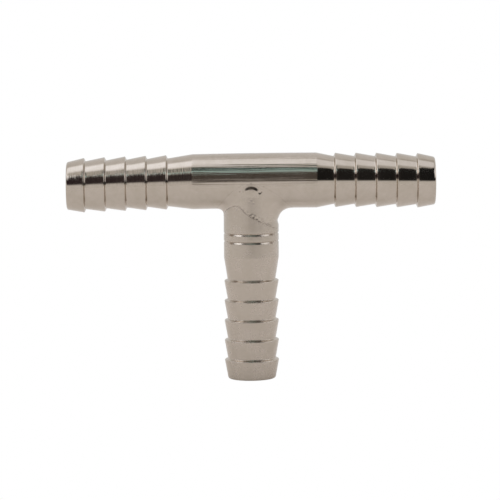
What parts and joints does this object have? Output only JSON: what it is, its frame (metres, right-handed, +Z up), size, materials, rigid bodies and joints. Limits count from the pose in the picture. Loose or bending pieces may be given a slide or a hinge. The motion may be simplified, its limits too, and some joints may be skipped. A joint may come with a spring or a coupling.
{
  "type": "three-way hose connector",
  "caption": "Polished metal hose tee: a straight barbed tube with a barbed branch welded on at right angles, bored through to all its ends.",
  "frame": {"origin": "centre of the branch's end face, which is the lowest face of the part", "axes": "+X along the run, +Z up along the branch from its end face to the run, +Y away from the viewer of the front"},
  "size_m": [0.0638, 0.0102, 0.0393],
  "materials": {
    "turned_steel": "polished",
    "weld_metal": "polished"
  },
  "bodies": {
    "root": {"run_tube": "turned_steel", "branch_tube": "turned_steel", "weld_bead": "weld_metal"}
  },
  "joints": []
}
